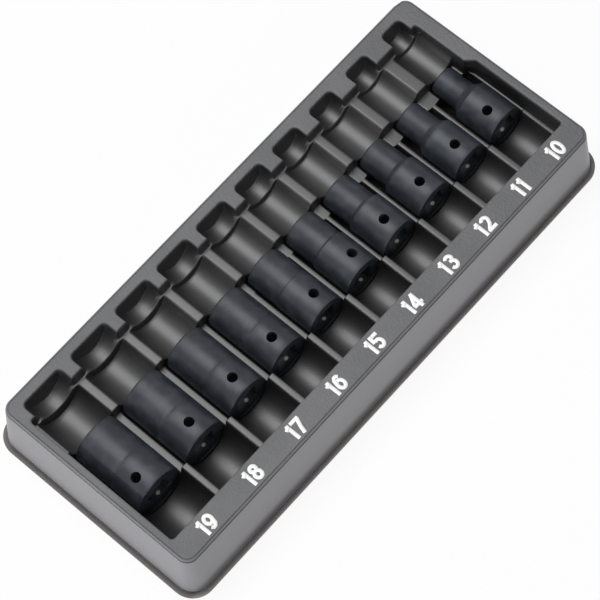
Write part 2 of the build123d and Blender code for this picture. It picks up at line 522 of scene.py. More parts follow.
@dataclass
class Row:
    """Places and diameters along the row of sockets."""

    sizes: tuple[int, ...] = tuple(range(19, 9, -1))
    drive_diameter: float = 25.0
    nose_growth: float = 1.45
    nose_base: float = 2.2
    rib_small: float = 4.2
    rib_growth: float = 0.28
    rib_growth_from: float = 13.0
    side_rim: float = 5.2
    side_clearance: float = 2.7
    noses: list[float] = field(init=False)
    bodies: list[float] = field(init=False)
    cells: list[float] = field(init=False)
    centres: list[float] = field(init=False)
    length: float = field(init=False)

    def __post_init__(self) -> None:
        """Work out what follows from the sizes."""
        self.noses = [self.nose_growth * size + self.nose_base for size in self.sizes]
        self.bodies = [max(self.drive_diameter, nose) for nose in self.noses]
        means = [(a + b) / 2 - self.rib_growth_from for a, b in zip(self.sizes, self.sizes[1:])]
        ribs = [self.rib_small + self.rib_growth * max(0.0, mean) for mean in means]
        steps = [(a + b) / 2 + rib for a, b, rib in zip(self.bodies, self.bodies[1:], ribs)]
        ends = (self.bodies[0] + self.bodies[-1]) / 2
        self.length = 2 * (self.side_rim + self.side_clearance) + ends + sum(steps)
        first = -self.length / 2 + self.side_rim + self.side_clearance + self.bodies[0] / 2
        self.centres = [first + sum(steps[:index]) for index in range(len(self.sizes))]
        sides = [ribs[0], *ribs, ribs[-1]]
        self.cells = [body + (a + b) / 2 for body, a, b in zip(self.bodies, sides, sides[1:])]


# --- Tray ---


@dataclass(frozen=True)
class Channel:
    """A round-floored channel along Y: where it is, how wide, and how high its axis runs."""

    centre: float
    radius: float
    axis: float


@dataclass(frozen=True)
class Stretch:
    """A length of the recess: its channels, the levels on either side of them, and its edges.

    The levels are the shelf at the left wall, the ridges, and the shelf at the right wall. What
    rises above the top of a stretch is cut off level.
    """

    channels: tuple[Channel, ...]
    levels: Floats
    corner: float
    top: float = math.inf


@dataclass(frozen=True)
class Corner:
    """A rounded corner of the plan: its centre, the way it points, its radius, and its reach.

    The rounding is full up to the first distance of the fade and gone at the second, both in
    radii from the centre.
    """

    x: float
    y: float
    way_x: float
    way_y: float
    radius: float
    fade: Pair


@dataclass
class Tray:
    """The formed tray: one sheet over the recess, the top face, the walls and the flange.

    The grooves are traced as reach, drop or rise, and the tone of the plastic; a tone above 0
    paints shade into a groove in the recess's near-black colour. The rounded top edge takes a
    tone below 0, a painted highlight in the paler wall colour. The places are where the sheet
    has its rings along Y.
    """

    row: Row
    height: float = 39.0
    width: float = 131.0
    thickness: float = 1.6
    wall_draft: float = 6.1
    recess_draft: float = 2.5
    back_draft: float = 9.0
    flange_top: float = 2.0
    flange_reach: float = 2.4
    flange_round: float = 0.6
    rim_round: float = 1.7
    edge_round: float = 1.0
    ridge_round: float = 1.2
    recess_front: float = -50.0
    pocket_front: float = -24.6
    nose_seat: float = 14.5
    pocket_back: float = 22.8
    notch_step: float = 47.0
    recess_back: float = 49.3
    notch_back: float = 58.6
    side_jog: float = 4.7
    side_gap: float = 0.6
    pocket_floor: float = 11.0
    pocket_ridge: float = 23.3
    finger_floor: float = 12.0
    finger_ridges: Pair = (32.2, 24.0)
    finger_ridge_width: float = 4.2
    nose_trough_axis: float = 35.0
    nose_trough_margin: float = 2.6
    nose_ridge: float = 31.4
    nose_ridge_width: float = 4.5
    notch_floor: float = 26.3
    notch_margin: float = 0.8
    outer_corner: float = 6.5
    recess_corner: float = 2.0
    notch_corner: float = 3.2
    # Painted highlight: the rounded top edge is coloured partly as the paler wall.
    edge_tone: float = -0.1
    wall_tone: float = -1.0
    # Painted shade: a tone above 0 colours the groove dark.
    edge_groove: tuple[Place, ...] = (
        (-0.10, 1.15, -0.1),
        (-0.50, 1.25, 0.1),
        (-0.62, 1.50, 0.1),
        (-0.55, 1.85, 0.1),
        (0.10, 2.00, 0.03),
        (0.26, 2.30, -1.0),
    )
    # Painted shade: a tone above 0 colours the groove at the foot dark.
    foot_groove: tuple[Place, ...] = (
        (-0.08, 1.10, -1.0),
        (-0.50, 0.85, 0.05),
        (-0.55, -0.25, 0.05),
        (0.25, -0.40, -1.0),
        (0.65, 0.0, -1.0),
    )
    recess_fade: Pair = (1.5, 2.3)
    notch_fade: Pair = (1.32, 1.8)
    outer_fade: Pair = (9.0, 10.0)
    edge_turns: Floats = (18.0, 36.0, 52.0, 66.0)
    paler_from: float = 30.0
    wall_levels: Floats = (30.0, 20.0, 10.0, 3.6)
    arc_steps: int = 8
    least_corner: float = 0.02
    corner_share: float = 0.9
    knee_margin: float = 1.2
    narrowest: float = 0.9
    lip_gap: float = 0.03
    shelf_share: float = 0.4
    curve: Floats = (0.0, 0.25, 0.5, 0.75, 1.0)
    bends: tuple[Pair, ...] = (
        (-1.0, 0.0),
        (-0.5, 0.03),
        (-0.16, 0.13),
        (0.0, 0.5),
        (0.16, 0.87),
        (0.5, 0.97),
        (1.0, 1.0),
    )
    softness: float = 0.9
    shares: Floats = (0.2, 0.4, 0.6, 0.8)
    spacing: float = 0.6
    front_places: Pair = (-53.0, -52.0)
    finger_places: Floats = (-47.0, -43.0, -38.0, -33.0, -28.0)
    body_places: Floats = (-18.0, -11.0, -4.0, 3.0)
    nose_places: Floats = (18.5,)
    trough_places: Floats = (26.0, 31.0, 36.0, 41.0)
    notch_places: Floats = (51.5, 53.0, 54.4)
    deepest: float = 28.0

    def _stretch(self, radii: list[float], axes: list[float], ridges: list[float]) -> Stretch:
        """Return a stretch whose end shelves are at the level of the end channels' axes."""
        channels = tuple(Channel(*values) for values in zip(self.row.centres, radii, axes))
        return Stretch(channels, (axes[0], *ridges, axes[-1]), self.ridge_round)

    def stretches(self) -> dict[str, Stretch]:
        """Work out the stretches of the recess.

        Returns:
            The stretches by name, from the strip to the notched rim.
        """
        row = self.row
        gaps = len(row.centres) - 1
        first, last = self.finger_ridges
        finger_tops = [first + (last - first) * index / (gaps - 1) for index in range(gaps)]
        fingers = [(cell - self.finger_ridge_width) / 2 for cell in row.cells]
        finger_axes = [self.finger_floor + radius for radius in fingers]
        bodies = [body / 2 + self.side_gap for body in row.bodies]
        noses = [nose / 2 + self.side_gap for nose in row.noses]
        axes = [self.pocket_floor + radius for radius in bodies]
        troughs = [
            min(nose / 2 + self.nose_trough_margin, (cell - self.nose_ridge_width) / 2)
            for nose, cell in zip(row.noses, row.cells)
        ]
        notches = [nose / 2 - self.notch_margin for nose in row.noses]
        notch_axes = [self.notch_floor + radius for radius in notches]
        level = [self.nose_trough_axis] * len(troughs)
        notched = self._stretch(notches, notch_axes, [self.height] * gaps).channels
        rim = Stretch(notched, (self.height,) * (gaps + 2), self.edge_round)
        return {
            "fingers": self._stretch(fingers, finger_axes, finger_tops),
            "bodies": self._stretch(bodies, axes, [self.pocket_ridge] * gaps),
            "noses": self._stretch(noses, axes, [self.pocket_ridge] * gaps),
            "troughs": self._stretch(troughs, level, [self.nose_ridge] * gaps),
            "ledge": replace(rim, top=self.nose_ridge),
            "rim": rim,
        }

    def _half(self, channel: Channel, middle: float, ridge: float, corner: float) -> Points:
        """Trace half a channel from beside its ridge's middle to its floor.

        Args:
            channel: The channel.
            middle: How far the ridge's middle is from the channel's centre.
            ridge: The height of the ridge.
            corner: The rounding of the ridge's edge.

        Returns:
            Distances from the centre, with heights.
        """
        radius, axis = channel.radius, channel.axis
        drop = max(0.0, axis - ridge)
        wall = max(0.0, ridge - axis)
        lip = math.sqrt(radius**2 - drop**2)
        start = math.asin(drop / radius)
        total = wall + radius * (math.pi / 2 - start)
        corner = max(min(corner, (middle - lip) * self.corner_share), self.least_corner)

        def along(run: float) -> Pair:
            """Find a point of the channel's side.

            Args:
                run: The distance from the top, along the side.

            Returns:
                The distance from the centre, with the height.
            """
            if run <= wall:
                return lip, ridge - run
            angle = start + (run - wall) / radius
            return radius * math.cos(angle), axis - radius * math.sin(angle)

        end = along(corner)
        points = [(lip + corner, ridge)]
        for share in self.curve[1:-1]:
            a, b, c = (1 - share) ** 2, 2 * share * (1 - share), share**2
            points.append((a * (lip + corner) + b * lip + c * end[0], (a + b) * ridge + c * end[1]))
        points.append(end)
        steps = self.arc_steps
        knee = wall if wall > corner * self.knee_margin else corner + (total - corner) / (steps + 1)
        runs = [knee + (total - knee) * step / steps for step in range(steps + 1)]
        return points + [along(run) for run in runs]

    def _side(self, wall: float, shelf: float, lip: float, way: int) -> Points:
        """Trace the top face and the recess's side wall, from the rim's edge to the shelf.

        Args:
            wall: X of the wall at the top.
            shelf: The height of the shelf at its foot.
            lip: X where the end channel's edge begins.
            way: -1 for the left side, 1 for the right.

        Returns:
            X and height of each point.
        """
        outer = self.row.length / 2 - self.rim_round
        depth = self.height - shelf
        draft = math.tan(math.radians(self.recess_draft))
        edge = min(self.edge_round, depth)
        points = [(way * (outer - step * self.spacing), self.height) for step in range(4)]
        for share in self.curve:
            x = wall + way * (1 - share) ** 2 * self.edge_round
            points.append((x, self.height - share**2 * edge))
        foot = wall - way * draft * depth
        gap = self.lip_gap
        foot = max(foot, lip + gap) if way > 0 else min(foot, lip - gap)
        points += [(foot + (lip - foot) * share, shelf) for share in (0.0, self.shelf_share)]
        return points

    def right_wall(self, y: float) -> float:
        """Place the recess's right wall, which jogs in beside the last nose.

        Args:
            y: Where along Y.

        Returns:
            X at the top of the wall.
        """
        wide = self.row.length / 2 - self.row.side_rim
        last = self.stretches()["troughs"].channels[-1]
        narrow = last.centre + last.radius
        share = min(max((y - self.nose_seat + self.side_jog) / self.side_jog, 0.0), 1.0)
        return wide + (narrow - wide) * share

    def outline(self, stretch: Stretch, y: float) -> np.ndarray:
        """Trace the section of a stretch, from one edge of the top face to the other.

        Args:
            stretch: The stretch.
            y: Where the section is, which sets the right wall.

        Returns:
            One row of X and height for each point.
        """
        walls = (-self.row.length / 2 + self.row.side_rim, self.right_wall(y))
        channels, levels = stretch.channels, stretch.levels
        neighbours = zip(channels, channels[1:])
        middles = [(a.centre + a.radius + b.centre - b.radius) / 2 for a, b in neighbours]
        slope = math.tan(math.radians(self.recess_draft))
        shelves = [min(level, stretch.top) for level in (levels[0], levels[-1])]
        feet = [
            wall - way * slope * (self.height - shelf)
            for wall, way, shelf in zip(walls, (-1, 1), shelves)
        ]
        spans = [feet[0], *middles, feet[1]]
        points: Points = []
        for index, channel in enumerate(channels):
            least = channel.radius * self.narrowest
            left = max(channel.centre - spans[index], least)
            right = max(spans[index + 1] - channel.centre, least)
            falling = self._half(channel, left, levels[index], stretch.corner)
            rising = self._half(channel, right, levels[index + 1], stretch.corner)
            if index:
                points.append((spans[index], levels[index]))
            points += [(channel.centre - x, z) for x, z in falling]
            points += [(channel.centre + x, z) for x, z in reversed(rising[:-1])]
        points = [(x, min(z, stretch.top)) for x, z in points]
        before = self._side(walls[0], shelves[0], points[0][0], -1)
        after = self._side(walls[1], shelves[1], points[-1][0], 1)
        return np.array(before + points + after[::-1])

    def _ring(self, outline: np.ndarray, y: Union[float, np.ndarray]) -> np.ndarray:
        """Return an outline as points of one ring at a place along Y."""
        return np.column_stack([outline[:, 0], np.full(len(outline), 1.0) * y, outline[:, 1]])

    def _end_wall(
        self, outline: np.ndarray, rise_to: np.ndarray, y: float, draft: float, way: int
    ) -> list[np.ndarray]:
        """Climb an end wall of the recess from one outline to a higher one.

        Args:
            outline: The outline at the wall's foot.
            rise_to: The outline at the wall's top.
            y: Where the wall meets the top.
            draft: The wall's slope in degrees.
            way: -1 for the wall towards the strip, 1 for the one towards the notched rim.

        Returns:
            Rings from the foot to beyond the rounded edge.
        """
        rise = np.maximum(rise_to[:, 1] - outline[:, 1], 0.0)
        edge = np.minimum(rise, self.edge_round)
        slope = math.tan(math.radians(draft))
        rings = [self._ring(outline, y - way * rise * slope)]
        for share in self.curve[::-1]:
            mixed = outline.copy()
            mixed[:, 0] += (rise_to[:, 0] - outline[:, 0]) * (1 - share)
            mixed[:, 1] = rise_to[:, 1] - share**2 * edge
            rings.append(self._ring(mixed, y + way * (1 - share) ** 2 * self.edge_round))
        return rings

    def _step(self, before: Stretch, after: Stretch, y: float) -> list[np.ndarray]:
        """Step from one stretch to the next, with soft edges above and below.

        Args:
            before: The stretch before the step.
            after: The stretch after it.
            y: Where the step is.

        Returns:
            The rings of the step.
        """
        rings = []
        for place, share in self.bends:
            at = y + place * self.softness
            mixed = self.outline(before, at) * (1 - share) + self.outline(after, at) * share
            rings.append(self._ring(mixed, at))
        return rings

    def _run(self, stretch: Stretch, places: Sequence[float]) -> list[np.ndarray]:
        """Return plain rings of a stretch at these places along Y."""
        return [self._ring(self.outline(stretch, y), y) for y in places]

    @staticmethod
    def _between(ring: np.ndarray, other: np.ndarray, shares: Sequence[float]) -> list[np.ndarray]:
        """Fill in between two rings.

        Args:
            ring: The ring that gives the heights.
            other: The ring to go towards.
            shares: How far along each new ring is, from 0 to 1.

        Returns:
            The rings between them.
        """
        rings = []
        for share in shares:
            mixed = ring.copy()
            mixed[:, 1] += (other[:, 1] - ring[:, 1]) * share
            rings.append(mixed)
        return rings

    def _level(self, outline: np.ndarray) -> np.ndarray:
        """Return an outline with every point raised to the top face."""
        return np.column_stack([outline[:, 0], np.full(len(outline), self.height)])

    def rings(self) -> np.ndarray:
        """Trace the whole top side of the sheet.

        Returns:
            The rings from the front edge to the back one, each with as many points.
        """
        by_name = self.stretches()
        edge = self.width / 2 - self.rim_round
        near = [step * self.spacing for step in range(9)]
        front = self.outline(by_name["fingers"], self.recess_front)
        places = [step - edge for step in near] + list(self.front_places)
        rings = [self._ring(self._level(front), y) for y in places]
        draft = self.recess_draft
        climb = self._end_wall(front, self._level(front), self.recess_front, draft, -1)
        first = self._run(by_name["fingers"], self.finger_places)[0]
        rings += climb[::-1] + self._between(first, climb[0], self.shares[::-1])
        route = (
            ("fingers", self.finger_places, self.pocket_front),
            ("bodies", (*self.body_places, self.nose_seat - self.side_jog), self.nose_seat),
            ("noses", self.nose_places, self.pocket_back),
            ("troughs", self.trough_places, self.notch_step),
            ("ledge", (), self.recess_back),
        )
        for (name, places, end), (after, *_) in zip(route, route[1:]):
            rings += self._run(by_name[name], places)
            rings += self._step(by_name[name], by_name[after], end)
        ledge, rim = (self.outline(by_name[name], self.recess_back) for name in ("ledge", "rim"))
        rings += self._end_wall(ledge, rim, self.recess_back, self.back_draft, 1)
        rings += self._run(by_name["rim"], self.notch_places)
        back = self.outline(by_name["rim"], self.notch_back)
        climb = self._end_wall(back, self._level(back), self.notch_back, self.back_draft, 1)
        rings += self._between(rings[-1], climb[0], self.shares) + climb
        rings += [self._ring(self._level(back), edge - step) for step in near[6::-1]]
        return np.array(rings)

    def corners(self) -> list[Corner]:
        """Place every rounded corner of the plan.

        Returns:
            The corners of the recess, of the notches and of the rim.
        """
        left = -self.row.length / 2 + self.row.side_rim
        radius = self.recess_corner
        found = []
        for y, way in ((self.recess_front, -1), (self.recess_back, 1)):
            for x, side in ((left, -1), (self.right_wall(y), 1)):
                place = (x - side * radius, y - way * radius)
                found.append(Corner(*place, side, way, radius, self.recess_fade))
        radius = self.notch_corner
        for channel in self.stretches()["rim"].channels:
            above = max(0.0, channel.axis - self.height)
            half = min(channel.radius, math.sqrt(channel.radius**2 - above**2)) - radius
            for side in (-1, 1):
                place = (channel.centre + side * half, self.notch_back - radius)
                found.append(Corner(*place, side, 1, radius, self.notch_fade))
        radius = self.outer_corner - self.rim_round
        x = self.row.length / 2 - self.outer_corner
        y = self.width / 2 - self.outer_corner
        for a in (-1, 1):
            found += [Corner(a * x, b * y, a, b, radius, self.outer_fade) for b in (-1, 1)]
        return found

    def round_corners(self, points: np.ndarray) -> np.ndarray:
        """Turn the square corners of the plan into round ones.

        Args:
            points: Points of the top side, with square corners.

        Returns:
            The same points, moved in plan near each corner.
        """
        for corner in self.corners():
            way = (corner.way_x, corner.way_y)
            local = (points[:, :2] - (corner.x, corner.y)) * way / corner.radius
            reach = local.max(axis=1)
            length = np.maximum(np.hypot(local[:, 0], local[:, 1]), 1e-9)
            full, gone = corner.fade
            share = np.clip((gone - reach) / (gone - full), 0.0, 1.0)
            share = share * share * (3 - 2 * share)
            inside = (local.min(axis=1) > 0) & (share > 0)
            scale = 1 + share * (reach / length - 1)
            moved = local * scale[:, None] * corner.radius * way
            points[inside, :2] = (moved + (corner.x, corner.y))[inside]
        return points

    def wall_profile(self) -> list[Place]:
        """Trace the outer wall and the flange, going down.

        Returns:
            Reach beyond the top face, height, and the depth that sets the plastic's tone.
        """
        draft = math.tan(math.radians(self.wall_draft))
        points = []
        for turn in self.edge_turns:
            angle = math.radians(turn)
            drop = self.rim_round * (1 - math.cos(angle))
            reach = self.rim_round * (math.sin(angle) - 1) + drop * draft
            # Past this turn the edge takes a paler tone, a painted highlight.
            tone = self.edge_tone if turn > self.paler_from else 0.0
            points.append((reach, self.height - drop, tone))
        points += [(reach, self.height - drop, tone) for reach, drop, tone in self.edge_groove]
        points += [((self.height - z) * draft, z, self.wall_tone) for z in self.wall_levels]
        foot = (self.height - self.flange_top) * draft
        reach = self.height * draft + self.flange_reach
        points += [(foot + out, self.flange_top + up, tone) for out, up, tone in self.foot_groove]
        soft = self.flange_round
        lip = ((soft, 0.0), (soft * 0.3, soft * 0.3), (0.0, soft), (0.0, self.flange_top))
        top = self.flange_top
        return points + [(reach - back, top - drop, self.wall_tone) for back, drop in lip]

    def _outward(self, points: np.ndarray) -> np.ndarray:
        """Find the way out of the tray at its edge.

        Args:
            points: Points of the edge of the top face.

        Returns:
            A unit vector in plan for each point.
        """
        half = np.array([self.row.length, self.width]) / 2 - self.outer_corner
        beyond = np.maximum(np.abs(points[:, :2]) - half, 0.0) * np.sign(points[:, :2])
        return beyond / np.hypot(beyond[:, 0], beyond[:, 1])[:, None]

    def mesh(self) -> bpy.types.Mesh:
        """Build the sheet as one mesh.

        Returns:
            The mesh, with the attribute that tells how deep each point lies in the recess.
        """
        rings = self.rings()
        count, columns, _ = rings.shape
        points = self.round_corners(rings.reshape(-1, 3))
        depth = (self.height - points[:, 2]) / self.deepest
        index = np.arange(count * columns).reshape(count, columns)
        cells = (index[:-1, :-1], index[:-1, 1:], index[1:, 1:], index[1:, :-1])
        faces = np.stack(cells, axis=-1).reshape(-1, 4).tolist()
        loop = [index[0], index[1:, -1], index[-1, -2::-1], index[-2:0:-1, 0]]
        above = np.concatenate(loop)
        edge = points[above]
        out = self._outward(edge)
        walls = [points]
        tones: list[float] = []
        for reach, height, tone in self.wall_profile():
            ring = edge.copy()
            ring[:, :2] += out * (reach + self.rim_round)
            ring[:, 2] = height
            walls.append(ring)
            below = len(points) + len(tones) + np.arange(len(edge))
            tones += [tone] * len(edge)
            sides = (above, below, np.roll(below, -1), np.roll(above, -1))
            faces += np.column_stack(sides).tolist()
            above = below
        everything = np.concatenate(walls) * MM
        mesh = bpy.data.meshes.new("tray_sheet")
        mesh.from_pydata(everything.tolist(), [], faces)
        attribute = mesh.attributes.new("depth", "FLOAT", "POINT")
        values = np.concatenate([depth, tones])
        attribute.data.foreach_set("value", values.astype(np.float32))
        return mesh

    def build(self, finish: bpy.types.Material) -> None:
        """Make the tray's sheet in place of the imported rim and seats.

        Args:
            finish: The tray's material.
        """
        mesh = self.mesh()
        made = bmesh.new()
        made.from_mesh(mesh)
        bmesh.ops.remove_doubles(made, verts=made.verts, dist=MERGE)
        bmesh.ops.dissolve_degenerate(made, edges=made.edges, dist=MERGE)
        made.to_mesh(mesh)
        made.free()
        mesh.polygons.foreach_set("use_smooth", [True] * len(mesh.polygons))
        mesh.materials.append(finish)
        tray = place_mesh("tray_sheet", mesh)
        shell = tray.modifiers.new("sheet", "SOLIDIFY")
        shell.thickness = self.thickness * MM
        shell.offset = -1.0
        even = tray.modifiers.new("even_shading", "WEIGHTED_NORMAL")
        even.keep_sharp = True
        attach(tray, "tray")
        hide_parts("tray_rim", *(f"seat_{size}" for size in self.row.sizes))
        LOG.info("tray: one sheet of %d faces, %.1f mm thick", len(mesh.polygons), self.thickness)


# --- Sockets ---


class SocketRecipe(Recipe):
    """The rule that every impact socket follows, with its sizes as named inputs.

    The edges are traced as distances in from the radius and from the end, in millimetres.
    """

    sides = 96
    bore_sides = 48
    lead_sides = 64
    pin_sides = 40
    drive_edge = ((1.0, 0.0), (0.55, 0.1), (0.2, 0.35), (0.0, 0.95))
    nose_edge = ((0.0, 1.3), (0.15, 0.65), (0.5, 0.2), (1.2, 0.0))
    body_places = (4.0, 15.5, 19.9)
    groove_places = (20.2, 20.5)
    shoulder_blend = (0.08, 0.06)
    square_lead = 0.8 * MM
    hexagon_lead = 0.9 * MM
    margin = 1.0 * MM
    sharp_angle = 0.5

    def __init__(self, finish: bpy.types.Material) -> None:
        """Build the tree.

        Args:
            finish: The material of the sockets.
        """
        super().__init__("impact_socket")
        self.body = self.size("Body Radius", 12.5 * MM)
        self.nose = self.size("Nose Radius", 9.0 * MM)
        self.length = self.size("Length", 45.0 * MM)
        self.step = self.size("Step", 23.6 * MM)
        self.groove = self.size("Groove Depth", 0.0)
        self.square = self.size("Drive Square", 13.0 * MM)
        self.square_depth = self.size("Square Depth", 16.5 * MM)
        self.flats = self.size("Across Flats", 12.0 * MM)
        self.hexagon_depth = self.size("Hexagon Depth", 17.0 * MM)
        self.core = self.size("Core Radius", 5.0 * MM)
        self.pin = self.size("Cross Hole Radius", 2.9 * MM)
        self.pin_place = self.size("Cross Hole Place", 9.8 * MM)
        self.turn = self.size("Turn", 0.0)
        self.axis_height = self.size("Axis Height", 24.0 * MM)
        self.centre = self.size("Centre", 0.0)
        self.drive_end = self.size("Drive End", -23.4 * MM)
        cut = self._outside()
        for tool in self._tools():
            cut = self.node(
                "GeometryNodeMeshBoolean",
                {"operation": "DIFFERENCE", "solver": "MANIFOLD"},
                {"Mesh 1": cut, "Mesh 2": [tool]},
                "Mesh",
            )
        turned = self.moved(cut, turn=self.vector(z=self.turn))
        own_place = self.node("GeometryNodeInputPosition")
        marked = self.node(
            "GeometryNodeStoreNamedAttribute",
            {"data_type": "FLOAT_VECTOR", "domain": "POINT"},
            {"Geometry": turned, "Name": "own_place", "Value": own_place},
        )
        place = self.vector(self.centre, self.drive_end, self.axis_height)
        laid = self.moved(marked, place, (-math.pi / 2, 0.0, 0.0))
        angle = self.node("GeometryNodeInputMeshEdgeAngle", None, None, "Unsigned Angle")
        limits = {"A": angle, "B": self.sharp_angle}
        sharp = self.node("FunctionNodeCompare", {"operation": "GREATER_THAN"}, limits)
        smooth = self.node("GeometryNodeSetShadeSmooth", {"domain": "FACE"}, {"Geometry": laid})
        sockets = {"Geometry": smooth, "Selection": sharp, "Shade Smooth": False}
        edged = self.node("GeometryNodeSetShadeSmooth", {"domain": "EDGE"}, sockets)
        self.close(edged, finish)

    def _cone(
        self, low: Value, high: Value, start: Value, depth: Value, sides: int, fill: str = "NGON"
    ) -> Wire:
        """Return a cone or cylinder along the axis.

        Args:
            low: Its radius at the start.
            high: Its radius at the end.
            start: Where it starts.
            depth: How long it is.
            sides: How many sides it has.
            fill: How its ends are closed.

        Returns:
            The mesh.
        """
        sockets = {"Vertices": sides, "Radius Top": high, "Radius Bottom": low, "Depth": depth}
        mesh = self.node("GeometryNodeMeshCone", {"fill_type": fill}, sockets, "Mesh")
        return self.moved(mesh, self.vector(z=start))

    def _stations(self) -> list[tuple[Wire, Wire]]:
        """Trace the outline of a socket.

        Returns:
            Radii and places, from the drive end to the nose.
        """
        body, nose, length, step = self.body, self.nose, self.length, self.step
        zero = self.body * 0.0
        shoulder = step + (body - nose)
        start, end = self.groove_places
        above, below = self.shoulder_blend
        return [
            *((body - back * MM, zero + place * MM) for back, place in self.drive_edge),
            *((body + 0.0, zero + place * MM) for place in self.body_places),
            (body - self.groove, zero + start * MM),
            (body + 0.0, zero + end * MM),
            (body + 0.0, step - 0.5 * MM),
            (body - (body - nose) * above, step + 0.1 * MM),
            (nose + (body - nose) * below, shoulder),
            (nose + 0.0, shoulder + 0.8 * MM),
            *((nose - back * MM, length - place * MM) for back, place in self.nose_edge),
        ]

    def _outside(self) -> Wire:
        """Close the outline into a turned solid.

        Returns:
            The closed outside, with its drive end at zero.
        """
        stations = self._stations()
        parts = [
            self._cone(low, high, start, end - start, self.sides, "NONE")
            for (low, start), (high, end) in zip(stations, stations[1:])
        ]
        for (radius, place), outward in ((stations[0], False), (stations[-1], True)):
            sockets = {"Vertices": self.sides, "Radius": radius}
            disc = self.node("GeometryNodeMeshCircle", {"fill_type": "NGON"}, sockets)
            if not outward:
                disc = self.node("GeometryNodeFlipFaces", None, {"Mesh": disc})
            parts.append(self.moved(disc, self.vector(z=place)))
        joined = self.node("GeometryNodeJoinGeometry", None, {"Geometry": parts})
        sockets = {"Geometry": joined, "Distance": MERGE}
        return self.node("GeometryNodeMergeByDistance", None, sockets)

    def _tools(self) -> list[Wire]:
        """Make what is cut out of a socket.

        Returns:
            The bore, the square, the hexagon, their leads and the cross hole.
        """
        margin, lead = self.margin, self.square_lead
        to_corner = math.sqrt(2.0)
        half = self.square * 0.5
        square = half * to_corner
        mouth = (half + lead + margin) * to_corner
        corner = self.flats * (0.5 / math.cos(math.pi / 6))
        outside = self.core * 0.0 - margin
        bottom = self.length - self.hexagon_depth
        through = self.length * 2.0
        bore = self._cone(self.core, self.core, -1.0 * self.core, through, self.bore_sides)
        drive = (
            self._cone(square, square, outside, self.square_depth + margin, 4),
            self._cone(mouth, square, outside, lead + margin, 4),
        )
        hexagon = self._cone(corner, corner, bottom, self.hexagon_depth + margin, 6)
        start = self.length - self.hexagon_lead
        opening = self._cone(corner - lead, corner + margin, start, lead + margin, self.lead_sides)
        pin = self._cone(self.pin, self.pin, -2.0 * self.body, self.body * 4.0, self.pin_sides)
        return [
            bore,
            *(self.moved(tool, turn=self.vector(z=math.pi / 4)) for tool in drive),
            hexagon,
            opening,
            self.moved(pin, self.vector(z=self.pin_place), (math.pi / 2, 0.0, 0.0)),
        ]


@dataclass
class SocketSet:
    """The ten sockets, each made by the same recipe with its own sizes."""

    row: Row
    length: float = 45.0
    seat_height: float = 11.3
    drive_end: float = -23.4
    core_bore: float = 10.5
    core_margin: float = 1.6
    hexagon_play: float = 0.15
    groove_depth: float = 0.12
    groove_from: int = 16
    turns: Floats = (-20.0, 1.0, 1.0, -3.0, 10.0, 14.0, -3.0, -4.0, -5.0, -16.0)

    def build(self, finish: bpy.types.Material) -> None:
        """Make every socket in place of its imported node.

        Args:
            finish: The sockets' material.
        """
        recipe = SocketRecipe(finish)
        seed = bpy.data.meshes.new("socket_seed")
        for index, size in enumerate(self.row.sizes):
            body = self.row.bodies[index] / 2
            sizes = {
                "Body Radius": body * MM,
                "Nose Radius": self.row.noses[index] / 2 * MM,
                "Length": self.length * MM,
                "Groove Depth": (self.groove_depth if size >= self.groove_from else 0.0) * MM,
                "Across Flats": (size + self.hexagon_play) * MM,
                "Core Radius": min(self.core_bore, size - self.core_margin) / 2 * MM,
                "Turn": math.radians(self.turns[index]),
                "Axis Height": (self.seat_height + body) * MM,
                "Centre": self.row.centres[index] * MM,
                "Drive End": self.drive_end * MM,
            }
            name = f"socket_{size}"
            socket = recipe.make(f"{name}_turned", seed, sizes)
            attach(socket, name)
            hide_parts(name)
            LOG.info("%s: %d faces", name, len(socket.data.polygons))


# --- Printed numbers ---


class NumberRecipe(Recipe):
    """Strokes swept into flat ribbons of ink."""

    def __init__(self, finish: bpy.types.Material) -> None:
        """Build the tree.

        Args:
            finish: The ink.
        """
        super().__init__("printed_numbers")
        stroke = self.size("Stroke Width", 2.1 * MM)
        ink = self.size("Ink Thickness", 0.06 * MM)
        level = self.size("Strip Height", 39.0 * MM)
        flat = self.node("GeometryNodeSetCurveNormal", {"mode": "Z_UP"}, {"Curve": self.base()})
        sockets = {"Width": stroke, "Height": ink}
        kind = "GeometryNodeCurvePrimitiveQuadrilateral"
        section = self.node(kind, {"mode": "RECTANGLE"}, sockets)
        sockets = {"Curve": flat, "Profile Curve": section, "Fill Caps": True}
        ribbon = self.node("GeometryNodeCurveToMesh", None, sockets)
        self.close(self.moved(ribbon, self.vector(z=level + ink * 0.4)), finish)


